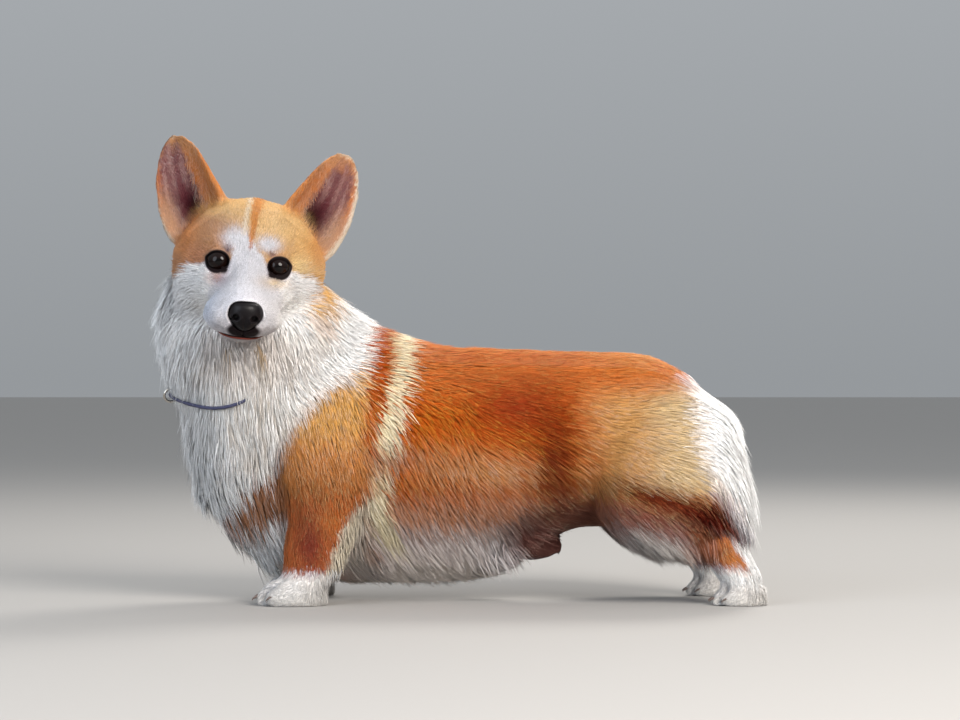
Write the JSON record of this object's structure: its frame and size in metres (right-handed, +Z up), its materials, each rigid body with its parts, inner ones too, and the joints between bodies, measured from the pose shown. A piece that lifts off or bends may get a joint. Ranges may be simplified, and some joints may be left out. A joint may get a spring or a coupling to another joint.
{
  "type": "pembroke welsh corgi",
  "caption": "Life-size still model of a standing Pembroke Welsh Corgi with red-and-white coat, upright ears, bobbed tail and thin slip collar, head turned to its side.",
  "frame": {"origin": "on the floor, under the middle of the whole dog's bounding box", "axes": "+X towards the rump, the dog faces -X; +Z up; -Y is the dog's left side, to which its face is turned"},
  "size_m": [0.655, 0.2848, 0.4971],
  "materials": {
    "coat_red": "red-orange double coat, matte with a soft sheen",
    "coat_gold": "golden to cream coat of the thigh and croup, matte",
    "coat_white": "white coat of face, ruff, chest and feet, matte",
    "coat_ear": "short orange coat of the ears with bare mauve-brown insides",
    "nose_leather": "black, moist and finely pebbled",
    "eye": "dark brown, wet and glossy",
    "claw": "dark horn, smooth and slightly glossy",
    "collar_cord": "thin round cord, dark blue-grey, matte",
    "collar_metal": "small bright ring"
  },
  "bodies": {
    "root": {"collar_cord": "collar_cord", "collar_ring": "collar_metal", "tail": "coat_red", "foreleg_upper_left": "coat_red", "foreleg_lower_left": "coat_red", "forepaw_left": "coat_white", "thigh_left": "coat_gold", "hock_left": "coat_red", "hindpaw_left": "coat_white", "foreclaw_left_1": "claw", "hindclaw_left_1": "claw", "foreclaw_left_2": "claw", "hindclaw_left_2": "claw", "foreclaw_left_3": "claw", "hindclaw_left_3": "claw", "foreclaw_left_4": "claw", "hindclaw_left_4": "claw", "eye_left": "eye", "ear_left": "coat_ear", "foreleg_upper_right": "coat_red", "foreleg_lower_right": "coat_red", "forepaw_right": "coat_white", "thigh_right": "coat_gold", "hock_right": "coat_red", "hindpaw_right": "coat_white", "foreclaw_right_1": "claw", "hindclaw_right_1": "claw", "foreclaw_right_2": "claw", "hindclaw_right_2": "claw", "foreclaw_right_3": "claw", "hindclaw_right_3": "claw", "foreclaw_right_4": "claw", "hindclaw_right_4": "claw", "eye_right": "eye", "ear_right": "coat_ear", "nose": "nose_leather", "lower_jaw": "coat_white", "head": "coat_red", "neck": "coat_white", "chest": "coat_white", "barrel": "coat_red", "rump": "coat_gold"}
  },
  "joints": []
}
